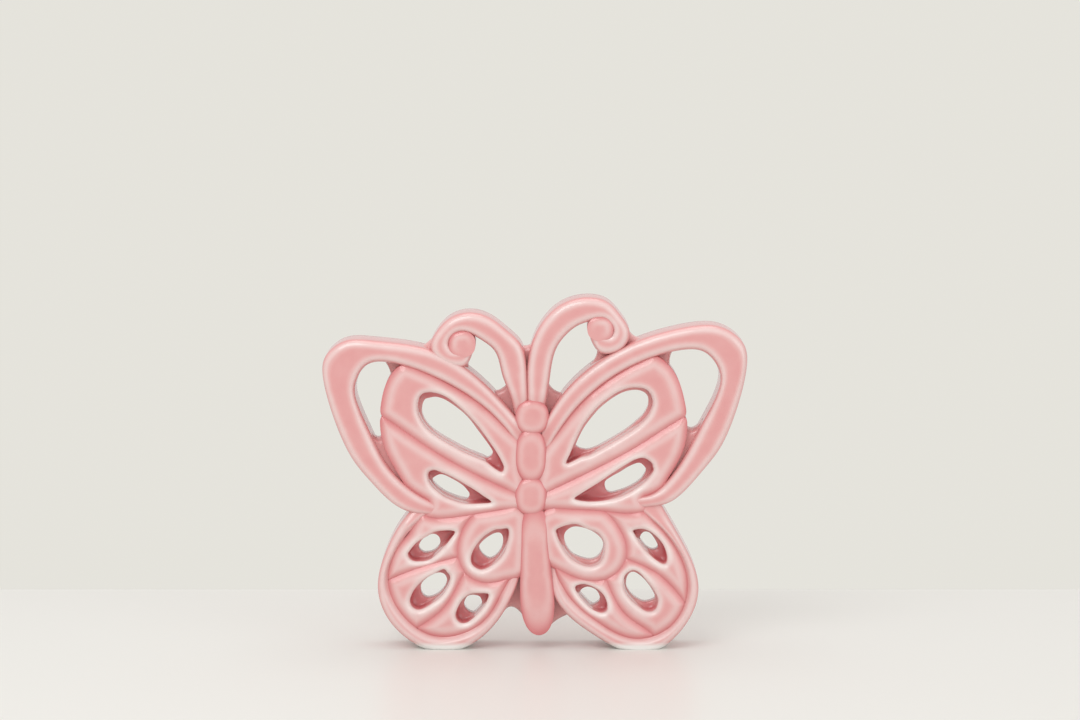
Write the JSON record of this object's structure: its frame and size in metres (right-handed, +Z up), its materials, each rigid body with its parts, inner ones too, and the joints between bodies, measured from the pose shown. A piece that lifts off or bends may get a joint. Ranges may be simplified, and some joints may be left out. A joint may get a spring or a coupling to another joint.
{
  "type": "butterfly ornament",
  "caption": "Upright openwork butterfly ornament in pink glazed ceramic, with pierced wings, a beaded body and curled antennae, resting on flat feet.",
  "frame": {"origin": "on the standing plane, under the middle of the bounding box", "axes": "+X from wing tip to wing tip, to the right as seen from the front; the front faces -Y; +Z up"},
  "size_m": [0.1401, 0.019, 0.117],
  "materials": {
    "glaze": "glossy pink glaze, near white on the edges and unglazed under the feet",
    "web_glaze": "glossy glaze that has pooled to a deep red"
  },
  "bodies": {
    "root": {"head": "glaze", "thorax": "glaze", "waist": "glaze", "abdomen": "glaze", "left_antenna": "glaze", "left_forewing_rim": "glaze", "left_forewing_upper_cell": "glaze", "left_forewing_lower_cell": "glaze", "left_hindwing_eye_ring": "glaze", "left_hindwing_rim": "glaze", "left_hindwing_outer_cell": "glaze", "left_hindwing_middle_cell": "glaze", "left_hindwing_bottom_cell": "glaze", "right_antenna": "glaze", "right_forewing_rim": "glaze", "right_forewing_upper_cell": "glaze", "right_forewing_lower_cell": "glaze", "right_hindwing_eye_ring": "glaze", "right_hindwing_rim": "glaze", "right_hindwing_outer_cell": "glaze", "right_hindwing_middle_cell": "glaze", "right_hindwing_bottom_cell": "glaze", "corner_webs": "web_glaze"}
  },
  "joints": []
}
